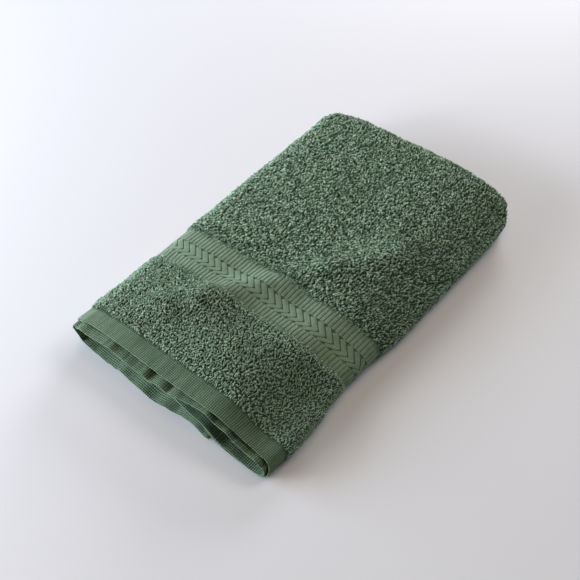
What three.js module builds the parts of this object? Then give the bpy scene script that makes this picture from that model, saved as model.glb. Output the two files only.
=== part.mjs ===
// A bath towel folded to a flat pack and laid down, in millimetres.
// The cloth is folded in half twice along its length, which brings both hems to the near end. The pack of four
// layers is then folded in three across: the right part is turned under first, and the left part under that.
// X runs across the folded towel, Y from the hem end to the far folds, and Z up from what it lies on.

import * as THREE from "three";

// Driving sizes of the folded towel and its cloth
const FOLDED_WIDTH = 235;
const FOLDED_LENGTH = 370;
const LAYER_PITCH = 3;
const TERRY_THICKNESS = 2.2;
const HEM_THICKNESS = 1.1;
const HEM_WIDTH = 19;
const BORDER_THICKNESS = 1.3;
const BORDER_START = 95;
const BORDER_END = 146;
const PILE_STEP = 2.5;
const PACK_GAP = 0.8;

// Where the hidden and the cut edges lie
const SELVAGE_NEAR_X = 169;
const SELVAGE_FAR_X = 176;
const HIDDEN_SELVAGE_X = 21;
const CLOSED_FOLD_Y = 40;

// The right fold is loose: it stands taller than the two packs that it joins, and the top slopes down to it
const RIGHT_FOLD_HEIGHT = 16;
const RIGHT_FOLD_TILT = THREE.MathUtils.degToRad(25);
const CLIMB_LENGTH = 30;
const LEDGE_SPARE = 2;
const NEAR_LEDGE_X = 140;
const NEAR_FOOT_X = 197;
const CLIMB_CHANGE_START = 4;
const CLIMB_CHANGE_END = 34;

// How far in from the near end the hems' reach and drop die away
const NEAR_END_REACH = 36;
const DROP_START = -8;
const DROP_END = 28;

const CLOTH_COLOUR = 0x5c7a62;
const CLOTH_ROUGHNESS = 0.95;

// The outer and inner pair of layers either side of the middle of a pack
const OUTER = 1.5 * LAYER_PITCH;
const INNER = 0.5 * LAYER_PITCH;
const HALF_PACK = OUTER + TERRY_THICKNESS / 2;
const PACK_STEP = 2 * HALF_PACK + PACK_GAP;
const LOW_Z = HALF_PACK;
const MIDDLE_Z = LOW_Z + PACK_STEP;
const TOP_Z = MIDDLE_Z + PACK_STEP;
const LEFT_FOLD_RADIUS = (TOP_Z - LOW_Z) / 2;
const LEFT_FOLD_X = LEFT_FOLD_RADIUS + HALF_PACK;
const RIGHT_FOLD_RADIUS = RIGHT_FOLD_HEIGHT / 2;

// How far the right fold is drawn in from the full width, along the length
const DRAWN_IN = [
  { y: 0, by: 0.5 },
  { y: 25, by: 1 },
  { y: 55, by: 3 },
  { y: 80, by: 7 },
  { y: 96, by: 7.5 },
  { y: 112, by: 5.5 },
  { y: 146, by: 5 },
  { y: 175, by: 2 },
  { y: 235, by: 2.2 },
  { y: 310, by: 2.2 },
  { y: 345, by: 4.5 },
  { y: 370, by: 9 },
];

// How far the far end is set back, across the cloth from the lower selvage to the hidden one
const SET_BACK = [
  { across: 0, by: 5 },
  { across: 0.9, by: 4 },
  { across: 1.5, by: 20 },
  { across: 1.95, by: 7 },
  { across: 2.15, by: 0.8 },
  { across: 2.6, by: 0.8 },
  { across: 2.9, by: 4 },
  { across: 3.15, by: 14 },
  { across: 3.5, by: 25 },
  { across: 4.1, by: 12 },
  { across: 4.4, by: 6 },
  { across: 5, by: 7 },
];

// The two hems at the near end: how far each reaches out of it and how far it drops, across the cloth
const OUTER_HEM = [
  { across: 0, reach: -10, drop: 0.7 },
  { across: 1, reach: -9, drop: 0.7 },
  { across: 1.6, reach: -2, drop: 0 },
  { across: 1.9, reach: 2, drop: 0 },
  { across: 2.1, reach: -1, drop: 0 },
  { across: 2.6, reach: 1, drop: 0.2 },
  { across: 2.9, reach: 0.5, drop: 0.6 },
  { across: 3.1, reach: 2, drop: 0.5 },
  { across: 3.5, reach: 7, drop: 0 },
  { across: 4, reach: 8, drop: 0.7 },
  { across: 4.2, reach: 7.5, drop: 0.7 },
  { across: 4.4, reach: 2, drop: 0.7 },
  { across: 5, reach: -6, drop: 0 },
];
const INNER_HEM = [
  { across: 0, reach: 8.5, drop: 3 },
  { across: 0.2, reach: 5.5, drop: 2.8 },
  { across: 0.45, reach: 9, drop: 3.2 },
  { across: 0.8, reach: 5.5, drop: 3 },
  { across: 1, reach: 4.5, drop: 2.4 },
  { across: 1.3, reach: 4, drop: 0 },
  { across: 1.7, reach: 7, drop: 0 },
  { across: 2, reach: 8.5, drop: 0.4 },
  { across: 2.2, reach: 7, drop: 0.6 },
  { across: 2.35, reach: 8.5, drop: 3.6 },
  { across: 2.5, reach: 8.5, drop: 1.2 },
  { across: 2.7, reach: 5, drop: 0.4 },
  { across: 3, reach: 7.5, drop: 0.8 },
  { across: 3.5, reach: 8, drop: 0 },
  { across: 4, reach: 9, drop: 0.4 },
  { across: 4.2, reach: 7.5, drop: 0 },
  { across: 4.4, reach: 4.5, drop: 0 },
  { across: 4.6, reach: -4, drop: 0 },
  { across: 5, reach: -4, drop: 0 },
];

// Soft ridges of the top layer, each along a line on the plan
const RIDGES = [
  { fromX: 60, fromY: 56, toX: 184, toY: 222, height: 3.4, spread: 16 },
  { fromX: 30, fromY: 55, toX: 75, toY: 62, height: 1.2, spread: 20 },
  { fromX: 60, fromY: 265, toX: 150, toY: 330, height: 1.4, spread: 34 },
];

// Where the whole folded towel sags, each along a line on the plan
const SAGS = [
  { fromX: 4, fromY: 40, toX: 4, toY: 130, height: -3, spread: 30 },
  { fromX: 2, fromY: 190, toX: 2, toY: 330, height: -1.8, spread: 30 },
  { fromX: 218, fromY: 90, toX: 218, toY: 320, height: -3.8, spread: 32 },
  { fromX: 222, fromY: 0, toX: 220, toY: 74, height: -7.5, spread: 36 },
];

// Where the section across the towel gets its points, as shares of each stretch
const ACROSS_POINTS = [
  { start: 0, shares: [0, 0.22, 0.47, 0.75] },
  { start: 1, shares: [0, 0.15, 0.31, 0.5, 0.69, 0.85] },
  { start: 2, shares: [0, 0.08, 0.16, 0.24, 0.32, 0.4, 0.48, 0.56, 0.64, 0.72, 0.81, 0.9] },
  { start: 3, shares: [0, 0.15, 0.31, 0.5, 0.69, 0.85] },
  { start: 4, shares: [0, 0.07, 0.13, 0.19, 0.25, 0.33, 0.5, 0.75, 1] },
];
const LAST_STRETCH = 4;

// Where a layer gets its points along the length: close together in the top one, which shows
const TOP_ROWS = {
  nearTerry: [32, 44, 58, 75],
  border: [120],
  farTerry: [162, 178, 195, 212, 230, 248, 266, 284, 304, 326],
};
const LOWER_ROWS = { nearTerry: [32, 44, 75], border: [120], farTerry: [178, 212, 248, 284, 326] };
const HIDDEN_ROWS = [75, 95, 120, 146, 178, 212, 248, 284, 326];
const FAR_BEND_STEPS = 5;
const TIGHT_BEND_STEPS = 3;
const FAR_FLAT_END = 348;
const SLOPE_REACH = 1;

// 0 before the first value, 1 after the second and a smooth rise between them.
function rise(from, to, value) {
  return THREE.MathUtils.smoothstep(value, from, to);
}

// The named column of a table, eased between the rows either side of the value.
function fromTable(rows, key, value, column) {
  const after = rows.findIndex((row) => row[key] >= value);
  if (after === 0) return rows[0][column];
  if (after < 0) return rows[rows.length - 1][column];
  const low = rows[after - 1];
  const high = rows[after];
  const share = rise(low[key], high[key], value);
  return THREE.MathUtils.lerp(low[column], high[column], share);
}

// How far soft forms such as ridges lift the cloth at a place on the plan.
function softHeight(forms, x, y) {
  let sum = 0;
  for (const fold of forms) {
    const alongX = fold.toX - fold.fromX;
    const alongY = fold.toY - fold.fromY;
    const share = ((x - fold.fromX) * alongX + (y - fold.fromY) * alongY) / (alongX ** 2 + alongY ** 2);
    const nearest = THREE.MathUtils.clamp(share, 0, 1);
    const away = Math.hypot(x - fold.fromX - nearest * alongX, y - fold.fromY - nearest * alongY);
    sum += fold.height * Math.exp(-((away / fold.spread) ** 2));
  }
  return sum;
}

// Where the lower third's selvage lies, at one place along the length.
function selvageX(y) {
  return THREE.MathUtils.mapLinear(y, 0, FOLDED_LENGTH, SELVAGE_NEAR_X, SELVAGE_FAR_X);
}

// The middle of the pack across the towel at one place along its length, with its outward normal.
// Whole numbers of across part its stretches: the lower third, the left fold, the middle third, the right fold
// and the right third.
function packSection(across, y) {
  const rightX = FOLDED_WIDTH - HALF_PACK - RIGHT_FOLD_RADIUS - fromTable(DRAWN_IN, "y", y, "by");
  const share = across - Math.min(Math.floor(across), LAST_STRETCH);
  if (across < 1) {
    return { x: THREE.MathUtils.lerp(selvageX(y), LEFT_FOLD_X, share), z: LOW_Z, nx: 0, nz: -1 };
  }
  if (across < 2) {
    const nx = -Math.sin(share * Math.PI);
    const nz = -Math.cos(share * Math.PI);
    const z = LOW_Z + LEFT_FOLD_RADIUS * (1 + nz);
    return { x: LEFT_FOLD_X + LEFT_FOLD_RADIUS * nx, z, nx, nz };
  }
  const drop = TOP_Z - LOW_Z - RIGHT_FOLD_RADIUS * (1 + Math.cos(RIGHT_FOLD_TILT));
  const slopeLength = (2 * drop) / Math.tan(RIGHT_FOLD_TILT);
  const slopeEndX = rightX + RIGHT_FOLD_RADIUS * Math.sin(RIGHT_FOLD_TILT);
  if (across < 3) {
    const x = THREE.MathUtils.lerp(LEFT_FOLD_X, slopeEndX, share);
    const past = (at) => Math.max(0, 1 + (at - slopeEndX) / slopeLength);
    const shoulder = (at) => TOP_Z - drop * past(at) ** 2;
    const slope = slopeAt(shoulder, x);
    const scale = 1 / Math.hypot(slope, 1);
    return { x, z: shoulder(x), nx: -slope * scale, nz: scale };
  }
  if (across < 4) {
    const turn = THREE.MathUtils.lerp(RIGHT_FOLD_TILT, Math.PI, share);
    const nx = Math.sin(turn);
    const nz = Math.cos(turn);
    const z = LOW_Z + RIGHT_FOLD_RADIUS * (1 + nz);
    return { x: rightX + RIGHT_FOLD_RADIUS * nx, z, nx, nz };
  }
  return rightThird(rightX, share, y);
}

// The slope of a height at one place across the towel.
function slopeAt(height, x) {
  return (height(x + SLOPE_REACH) - height(x - SLOPE_REACH)) / (2 * SLOPE_REACH);
}

// The right third lies low beside the lower third and climbs over that one's selvage, more gently at the hems.
function rightThird(rightX, share, y) {
  const inside = rise(CLIMB_CHANGE_START, CLIMB_CHANGE_END, y);
  const ledgeX = THREE.MathUtils.lerp(NEAR_LEDGE_X, selvageX(y) + LEDGE_SPARE, inside);
  const footX = THREE.MathUtils.lerp(NEAR_FOOT_X, selvageX(y) + CLIMB_LENGTH, inside);
  const height = MIDDLE_Z - LOW_Z;
  const x = THREE.MathUtils.lerp(rightX, HIDDEN_SELVAGE_X, share);
  const climb = (at) => height * (1 - rise(ledgeX, footX, at));
  const slope = slopeAt(climb, x);
  const scale = 1 / Math.hypot(slope, 1);
  return { x, z: LOW_Z + climb(x), nx: slope * scale, nz: -scale };
}

// The places along the cloth, from its outer hem to its inner one: where each lies in the pack's own plane of
// length and depth, which way its upper face looks there, how thick the cloth is and which hem it follows.
function lengthRows() {
  const stretch = (places, thickness) => places.map((y) => ({ y, thickness }));
  const hemmed = (depth, face, hem, { nearTerry, border, farTerry }) =>
    [
      ...stretch([0, HEM_WIDTH / 2, HEM_WIDTH], HEM_THICKNESS),
      ...stretch([HEM_WIDTH + PILE_STEP, ...nearTerry, BORDER_START - PILE_STEP], TERRY_THICKNESS),
      ...stretch([BORDER_START, ...border, BORDER_END], BORDER_THICKNESS),
      ...stretch([BORDER_END + PILE_STEP, ...farTerry], TERRY_THICKNESS),
    ].map((row) => ({ ...row, depth, ny: 0, nt: face, hem }));
  const plain = (depth, face) =>
    stretch(HIDDEN_ROWS, TERRY_THICKNESS).map((row) => ({ ...row, depth, ny: 0, nt: face, hem: null }));
  return [
    ...hemmed(OUTER, 1, OUTER_HEM, TOP_ROWS),
    ...bend(FAR_FLAT_END, 0, OUTER, { end: 1, from: 1, face: 1 }, FAR_BEND_STEPS),
    ...plain(-OUTER, -1).reverse(),
    ...bend(CLOSED_FOLD_Y, -LAYER_PITCH, INNER, { end: -1, from: -1, face: 1 }, TIGHT_BEND_STEPS),
    ...plain(-INNER, 1),
    ...bend(FAR_FLAT_END, 0, INNER, { end: 1, from: -1, face: -1 }, TIGHT_BEND_STEPS),
    ...hemmed(INNER, -1, INNER_HEM, LOWER_ROWS).reverse(),
  ];
}

// Half a turn of the cloth about a line across the pack: end is the way that it bulges along the length, from
// is the side of the depth where it starts, and face is 1 where the cloth's upper face is on the outside.
function bend(centreY, centreDepth, radius, { end, from, face }, steps) {
  return Array.from({ length: steps + 1 }, (_, step) => {
    const angle = (Math.PI * step) / steps;
    const alongY = end * Math.sin(angle);
    const alongDepth = from * Math.cos(angle);
    return {
      y: centreY,
      past: radius * alongY,
      depth: centreDepth + radius * alongDepth,
      ny: face * alongY,
      nt: face * alongDepth,
      thickness: TERRY_THICKNESS,
      hem: null,
    };
  });
}

// The two faces of the cloth at one place: the upper one first.
function facePoints(across, row) {
  const set = fromTable(SET_BACK, "across", across, "by");
  const length = FOLDED_LENGTH - set - HALF_PACK;
  const farY = THREE.MathUtils.mapLinear(row.y, BORDER_END, FAR_FLAT_END, BORDER_END, length);
  const y = row.y > BORDER_END ? farY : row.y;
  const section = packSection(across, y);
  const reach = row.hem ? fromTable(row.hem, "across", across, "reach") : 0;
  const drop = row.hem ? fromTable(row.hem, "across", across, "drop") : 0;
  const alongY = y + (row.past ?? 0) - reach * (1 - rise(0, NEAR_END_REACH, y));
  const sink = drop * (1 - rise(DROP_START, DROP_END, alongY));
  const x = section.x + section.nx * row.depth;
  const z = section.z + section.nz * row.depth - sink;
  const half = row.thickness / 2;
  const face = new THREE.Vector3(section.nx * row.nt, row.ny, section.nz * row.nt).normalize();
  const point = new THREE.Vector3(x, alongY, z);
  return [1, -1].map((side) => {
    const place = point.clone().addScaledVector(face, side * half);
    if (row.hem === OUTER_HEM) place.z += softHeight(RIDGES, place.x, place.y) * rise(MIDDLE_Z, TOP_Z, place.z);
    place.z *= 1 + softHeight(SAGS, place.x, place.y) / (TOP_Z + HALF_PACK);
    return place;
  });
}

// The folded cloth as one closed solid: its two faces, and the rim that joins them along hems and selvages.
function foldedCloth() {
  const columns = ACROSS_POINTS.flatMap(({ start, shares }) => shares.map((share) => start + share));
  const rows = lengthRows();
  const positions = [];
  for (const row of rows) {
    for (const across of columns) {
      for (const place of facePoints(across, row)) positions.push(place.x, place.y, place.z);
    }
  }
  const vertex = (row, column, side) => 2 * (row * columns.length + column) + side;
  const triangles = [];
  const quad = (a, b, c, d) => triangles.push(a, b, c, a, c, d);
  const lastRow = rows.length - 1;
  const lastColumn = columns.length - 1;
  for (let row = 0; row < lastRow; row++) {
    for (let column = 0; column < lastColumn; column++) {
      const corners = (side) => [
        vertex(row, column, side),
        vertex(row, column + 1, side),
        vertex(row + 1, column + 1, side),
        vertex(row + 1, column, side),
      ];
      quad(...corners(0));
      quad(...corners(1).reverse());
    }
  }
  const rim = (rowA, columnA, rowB, columnB) => {
    const ends = [vertex(rowA, columnA, 0), vertex(rowA, columnA, 1)];
    quad(...ends, vertex(rowB, columnB, 1), vertex(rowB, columnB, 0));
  };
  for (let column = 0; column < lastColumn; column++) {
    rim(0, column, 0, column + 1);
    rim(lastRow, column + 1, lastRow, column);
  }
  for (let row = 0; row < lastRow; row++) {
    rim(row + 1, 0, row, 0);
    rim(row, lastColumn, row + 1, lastColumn);
  }
  const geometry = new THREE.BufferGeometry();
  geometry.setAttribute("position", new THREE.Float32BufferAttribute(positions, 3));
  geometry.setIndex(triangles);
  geometry.computeVertexNormals();
  geometry.computeBoundingBox();
  return geometry;
}

// The towel with its origin below the middle of its box.
function towel() {
  const geometry = foldedCloth();
  const { min, max } = geometry.boundingBox;
  geometry.translate(-(min.x + max.x) / 2, -(min.y + max.y) / 2, -min.z);
  const material = new THREE.MeshStandardMaterial({
    color: CLOTH_COLOUR,
    roughness: CLOTH_ROUGHNESS,
    metalness: 0,
  });
  const mesh = new THREE.Mesh(geometry, material);
  mesh.name = "towel";
  return mesh;
}

const part = new THREE.Group();
part.add(towel());

export default part;
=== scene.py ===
"""A bath towel folded to a flat pack: looped terry, flat hems and a woven chevron border, on a pale floor.

Lengths are millimetres unless a name says otherwise, and MM turns them into Blender's metres. The cloth is
made flat and then folded: `across` runs over the section of the folded pack, `along` from the outer hem's
edge up the cloth, and `lift` stands away from the cloth's face.
"""

import sys

import logging
import math
from collections.abc import Callable
from dataclasses import dataclass
from enum import Enum
from typing import ClassVar

import bpy
import numpy as np
from mathutils import Matrix, Vector


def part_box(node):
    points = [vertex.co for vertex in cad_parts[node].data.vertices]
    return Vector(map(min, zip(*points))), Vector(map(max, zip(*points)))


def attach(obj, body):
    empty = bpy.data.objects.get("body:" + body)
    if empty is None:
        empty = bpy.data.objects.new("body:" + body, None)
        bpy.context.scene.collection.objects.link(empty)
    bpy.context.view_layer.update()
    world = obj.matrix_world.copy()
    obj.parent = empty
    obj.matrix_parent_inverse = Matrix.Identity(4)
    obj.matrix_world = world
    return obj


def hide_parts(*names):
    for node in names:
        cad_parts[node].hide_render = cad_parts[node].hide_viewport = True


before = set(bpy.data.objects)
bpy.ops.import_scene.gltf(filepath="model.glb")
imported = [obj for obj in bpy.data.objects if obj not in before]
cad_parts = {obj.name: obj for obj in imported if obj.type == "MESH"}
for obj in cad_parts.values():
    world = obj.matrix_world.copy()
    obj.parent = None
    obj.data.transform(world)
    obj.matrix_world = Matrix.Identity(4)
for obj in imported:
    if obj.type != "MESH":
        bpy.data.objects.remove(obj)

LOG = logging.getLogger("towel")
MM = 0.001
Array = np.ndarray


def rise(start: float | Array, end: float | Array, place: float | Array) -> Array:
    """A smooth rise from 0 to 1.

    Args:
        start: Where it leaves 0.
        end: Where it reaches 1.
        place: Where it is wanted.

    Returns:
        The share risen at each place.
    """
    share = np.clip((np.asarray(place, float) - start) / (end - start), 0.0, 1.0)
    return share * share * (3.0 - 2.0 * share)


@dataclass(frozen=True)
class Profile:
    """A value along one direction, eased between the places where it is given."""

    at: tuple[float, ...]
    value: tuple[float, ...]

    def __call__(self, place: float | Array) -> Array:
        """The value at each place.

        Args:
            place: Where it is wanted.

        Returns:
            The values.
        """
        at, value = np.array(self.at), np.array(self.value)
        after = np.clip(np.searchsorted(at, place), 1, len(at) - 1)
        share = rise(at[after - 1], at[after], place)
        return value[after - 1] + (value[after] - value[after - 1]) * share


@dataclass(frozen=True)
class Lumps:
    """Soft random unevenness of the flat cloth."""

    size: float
    height: float
    seed: int
    lattice: int = 128

    def __call__(self, across: Array, along: Array) -> Array:
        """How far the cloth stands up or dips at each place.

        Args:
            across: Places across the flat cloth.
            along: Places along it.

        Returns:
            The heights, up to the lumps' own height either way.
        """
        table = np.random.default_rng(self.seed).uniform(-1.0, 1.0, (self.lattice, self.lattice))
        u, v = np.broadcast_arrays(across / self.size, along / self.size)
        i, j = np.floor(u).astype(int), np.floor(v).astype(int)
        p, q = rise(0.0, 1.0, u - i), rise(0.0, 1.0, v - j)
        n = self.lattice
        low = table[i % n, j % n] * (1 - p) + table[(i + 1) % n, j % n] * p
        high = table[i % n, (j + 1) % n] * (1 - p) + table[(i + 1) % n, (j + 1) % n] * p
        return self.height * (low * (1 - q) + high * q)


class Hem(Enum):
    """Which of the towel's two hems a stretch of the cloth follows."""

    NONE = 0
    OUTER = 1
    INNER = 2


@dataclass(frozen=True)
class Ridge:
    """A soft ridge of the top layer along a line on the plan."""

    start: tuple[float, float]
    end: tuple[float, float]
    height: float
    spread: float

    def __call__(self, x: Array, y: Array) -> Array:
        """How far the ridge lifts the cloth.

        Args:
            x: Places on the plan, across the folded towel.
            y: Places on the plan, along it.

        Returns:
            The lift at each place, which is negative for a sag.
        """
        along_x, along_y = self.end[0] - self.start[0], self.end[1] - self.start[1]
        share = ((x - self.start[0]) * along_x + (y - self.start[1]) * along_y) / (along_x**2 + along_y**2)
        nearest = np.clip(share, 0.0, 1.0)
        away = np.hypot(x - self.start[0] - nearest * along_x, y - self.start[1] - nearest * along_y)
        return self.height * np.exp(-((away / self.spread) ** 2))


@dataclass(frozen=True)
class Run:
    """Places along the cloth, in the pack's own plane of length and depth.

    Each field holds one number for each place: y is its distance from the hem end, past what a bend adds to
    that, depth its distance from the pack's middle, ny and nt the way that the cloth's upper face looks there,
    cloth the distance from the outer hem's edge over the cloth itself, and hem the Hem that it follows.
    """

    y: Array
    past: Array
    depth: Array
    ny: Array
    nt: Array
    cloth: Array
    thickness: Array
    hem: Array

    def column(self) -> "Run":
        """The same places, shaped to meet a row of places across."""
        return Run(*(getattr(self, name)[:, None] for name in self.__dataclass_fields__))

    @staticmethod
    def joined(runs: list["Run"]) -> "Run":
        """Several stretches of the cloth as one."""
        return Run(*(np.concatenate([getattr(r, name) for r in runs]) for name in Run.__dataclass_fields__))


@dataclass
class Fold:
    """How the towel lies: folded in half twice along its length, then in three across.

    Whole numbers of across part the lower third, the left fold, the middle third on top, the right fold and the
    right third, which is turned under between the other two.
    """

    width: float
    length: float
    corner: Vector
    hem_reach: float = 9.0
    layer_pitch: float = 3.0
    half_pack: float = 5.6
    pack_gap: float = 0.8
    right_fold_height: float = 16.0
    right_fold_tilt: float = math.radians(25)
    selvage_near_x: float = 169.0
    selvage_far_x: float = 176.0
    hidden_selvage_x: float = 21.0
    closed_fold_y: float = 40.0
    near_ledge_x: float = 140.0
    near_foot_x: float = 197.0
    climb_length: float = 30.0
    ledge_spare: float = 2.0
    climb_change: tuple[float, float] = (4.0, 34.0)
    near_end_reach: float = 36.0
    drop_band: tuple[float, float] = (-8.0, 28.0)
    far_flat_end: float = 348.0
    hem_width: float = 19.0
    border: tuple[float, float] = (97.0, 142.0)
    border_edges: tuple[float, float] = (95.0, 146.0)
    terry_thickness: float = 1.6
    hem_thickness: float = 1.15
    border_thickness: float = 1.2
    step: float = 1.4
    pile_room: float = 2.2
    hem_spare: float = 1.0
    pressed: float = 0.12
    edge_slope: float = 4.0
    edge_low: float = 0.6
    clearance: float = 0.3
    wave_stretch: float = 0.04
    inner_wave_stretch: float = 0.1
    inner_waved: float = 2.0
    waves_apart: tuple[float, float] = (300.0, 9.0)
    waves_end: tuple[float, float] = (15.0, 31.0)

    drawn_in = Profile(
        at=(0, 25, 55, 80, 96, 112, 146, 175, 235, 310, 345, 370),
        value=(0.5, 1, 3, 7, 7.5, 5.5, 5, 2, 2.2, 2.2, 4.5, 9),
    )
    set_back = Profile(
        at=(0, 0.9, 1.5, 1.95, 2.15, 2.6, 2.9, 3.15, 3.5, 4.1, 4.4, 5),
        value=(5, 4, 20, 7, 0.8, 0.8, 4, 14, 25, 12, 6, 7),
    )
    outer_reach = Profile(
        at=(0, 1, 1.6, 1.9, 2.1, 2.6, 2.9, 3.1, 3.5, 4, 4.2, 4.4, 5),
        value=(-10, -9, -2, 2, -1, 1, 0.5, 2, 7, 8, 7.5, 2, -6),
    )
    outer_drop = Profile(
        at=(0, 1, 1.6, 2.1, 2.6, 2.9, 3.1, 3.5, 4, 4.4, 5),
        value=(0.7, 0.7, 0, 0, 0.2, 0.6, 0.5, 0, 0.7, 0.7, 0),
    )
    inner_reach = Profile(
        at=(0, 0.2, 0.45, 0.8, 1, 1.3, 1.7, 2, 2.2, 2.35, 2.5, 2.7, 3, 3.5, 4, 4.2, 4.4, 4.6, 5),
        value=(8.5, 5.5, 9, 5.5, 4.5, 4, 7, 8.5, 7, 8.5, 8.5, 5, 7.5, 8, 9, 7.5, 4.5, -4, -4),
    )
    inner_drop = Profile(
        at=(0, 0.2, 0.45, 0.8, 1, 1.3, 1.7, 2, 2.2, 2.35, 2.5, 2.7, 3, 3.5, 4, 4.2, 5),
        value=(3, 2.8, 3.2, 3, 2.4, 0, 0, 0.4, 0.6, 3.6, 1.2, 0.4, 0.8, 0, 0.4, 0, 0),
    )
    ridges = (
        Ridge(start=(60, 56), end=(184, 222), height=5.4, spread=15),
        Ridge(start=(30, 55), end=(75, 62), height=1.2, spread=20),
        Ridge(start=(152, 170), end=(190, 222), height=2.8, spread=22),
        Ridge(start=(184, 204), end=(185, 212), height=2.0, spread=18),
        Ridge(start=(84, 64), end=(84, 74), height=1.6, spread=12),
        Ridge(start=(92, 80), end=(150, 36), height=1.7, spread=22),
        Ridge(start=(60, 265), end=(150, 330), height=1.4, spread=34),
    )
    sags = (
        Ridge(start=(152, 140), end=(192, 188), height=-1.0, spread=14),
        Ridge(start=(4, 40), end=(4, 130), height=-3.0, spread=30),
        Ridge(start=(2, 190), end=(2, 330), height=-1.8, spread=30),
        Ridge(start=(218, 90), end=(218, 320), height=-3.8, spread=32),
        Ridge(start=(222, 0), end=(220, 74), height=-7.5, spread=36),
        Ridge(start=(205, 18), end=(208, 58), height=-9.5, spread=24),
        Ridge(start=(14, 165), end=(36, 200), height=-1.9, spread=24),
        Ridge(start=(6, 0), end=(8, 235), height=-0.5, spread=26),
        Ridge(start=(12, 62), end=(24, 84), height=-1.6, spread=18),
    )
    waves = Lumps(size=2.3, height=0.24, seed=11)
    inner_waves = Lumps(size=7.0, height=1.1, seed=14)
    waved = Profile(at=(0, 1.9, 2.15, 2.5, 2.75, 3.1, 3.4, 5), value=(1.6, 1.3, 1, 1, 0.3, 0.2, 1.2, 1.6))
    broad_lumps = Lumps(size=31.0, height=0.75, seed=3)
    near_lumps = Lumps(size=5.2, height=0.65, seed=5)
    far_lumps = Lumps(size=4.6, height=0.6, seed=8)

    def __post_init__(self) -> None:
        """Works out the levels of the three packs, the folds' radii and the cloth's measure across."""
        self.outer = 1.5 * self.layer_pitch
        self.inner = 0.5 * self.layer_pitch
        self.low_z = self.half_pack
        self.middle_z = self.low_z + 2 * self.half_pack + self.pack_gap
        self.top_z = self.middle_z + 2 * self.half_pack + self.pack_gap
        self.left_radius = (self.top_z - self.low_z) / 2
        self.left_x = self.left_radius + self.half_pack
        self.right_radius = self.right_fold_height / 2
        self.shares = np.linspace(0.0, 5.0, 5001)
        x, z, nx, nz = self.section(self.shares, np.full_like(self.shares, self.length / 2))
        face = self.outer + self.terry_thickness / 2
        steps = np.hypot(np.diff(x + nx * face), np.diff(z + nz * face))
        self.measured = np.concatenate([[0.0], np.cumsum(steps)])

    def flat(self, across: float | Array) -> Array:
        """The distance over the outer layer's face from its lower selvage."""
        return np.interp(across, self.shares, self.measured)

    def across(self, flat: float | Array) -> Array:
        """The place across that lies at a distance over the outer layer's face."""
        return np.interp(flat, self.measured, self.shares)

    def section(self, across: Array, y: Array) -> tuple[Array, Array, Array, Array]:
        """The middle of the pack across the towel.

        Args:
            across: Places across, from 0 to 5.
            y: Places along the pack, of the same shape.

        Returns:
            Its x and z there, and the x and z of the way out of the fold.
        """
        def top_height(at: Array) -> Array:
            """The top's height, which is level on the left and falls to the right fold."""
            return self.top_z - drop * np.maximum(0, 1 + (at - end_x) / slope) ** 2

        def under_height(at: Array) -> Array:
            """The height of the third that is turned under, which steps up over the lower third's selvage."""
            return self.low_z + height * (1 - rise(ledge, foot, at))

        share = across - np.minimum(np.floor(across), 4)
        right_x = self.width - self.half_pack - self.right_radius - self.drawn_in(y)
        selvage_x = self.selvage_near_x + (self.selvage_far_x - self.selvage_near_x) * y / self.length
        turn = share * math.pi
        zero = np.zeros_like(share + y)

        lower = (selvage_x + (self.left_x - selvage_x) * share, self.low_z + zero, zero, zero - 1)
        left = (
            self.left_x - self.left_radius * np.sin(turn),
            self.low_z + self.left_radius * (1 - np.cos(turn)),
            -np.sin(turn) + zero,
            -np.cos(turn) + zero,
        )
        drop = self.top_z - self.low_z - self.right_radius * (1 + math.cos(self.right_fold_tilt))
        slope = 2 * drop / math.tan(self.right_fold_tilt)
        end_x = right_x + self.right_radius * math.sin(self.right_fold_tilt)
        top_x = self.left_x + (end_x - self.left_x) * share
        top = self.sloped(top_x, top_height, 1.0)
        turn = self.right_fold_tilt + share * (math.pi - self.right_fold_tilt)
        right = (
            right_x + self.right_radius * np.sin(turn),
            self.low_z + self.right_radius * (1 + np.cos(turn)),
            np.sin(turn) + zero,
            np.cos(turn) + zero,
        )
        inside = rise(*self.climb_change, y)
        ledge = self.near_ledge_x + (selvage_x + self.ledge_spare - self.near_ledge_x) * inside
        foot = self.near_foot_x + (selvage_x + self.climb_length - self.near_foot_x) * inside
        height = self.middle_z - self.low_z
        under_x = right_x + (self.hidden_selvage_x - right_x) * share
        under = self.sloped(under_x, under_height, -1.0)

        stretches = [np.broadcast_arrays(*part, zero)[:4] for part in (lower, left, top, right, under)]
        where = [across < 1, across < 2, across < 3, across < 4]
        where = [np.broadcast_to(w, zero.shape) for w in where]
        return tuple(
            np.select(where, [part[k] for part in stretches[:4]], stretches[4][k]) for k in range(4)
        )

    @staticmethod
    def sloped(x: Array, height: Callable[[Array], Array], up: float) -> tuple[Array, Array, Array, Array]:
        """A stretch of the section whose height is a function of its x.

        Args:
            x: Its places.
            height: The function, which gives z.
            up: 1 where the way out of the fold is up, and -1 where it is down.

        Returns:
            What section returns.
        """
        slope = (height(x + 1.0) - height(x - 1.0)) / 2.0
        scale = up / np.hypot(slope, 1.0)
        return x, height(x), -slope * scale, scale

    def thickness(self, along: Array) -> Array:
        """How thick the cloth is without its loops.

        Args:
            along: Distances from either hem's edge over the cloth.

        Returns:
            The thickness at each.
        """
        terry = rise(self.hem_width, self.hem_width + self.step, along)
        thick = self.hem_thickness + (self.terry_thickness - self.hem_thickness) * terry
        return thick + (self.border_thickness - self.terry_thickness) * self.in_border(along)

    def in_border(self, along: Array) -> Array:
        """1 in the woven border, 0 in the terry, and a short rise between them."""
        start, end = self.border
        return rise(start - self.step, start, along) * (1 - rise(end, end + self.step, along))

    def in_hem(self, along: Array) -> Array:
        """1 in the hem, 0 in the terry."""
        return 1 - rise(self.hem_width - self.step, self.hem_width, along)

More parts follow.
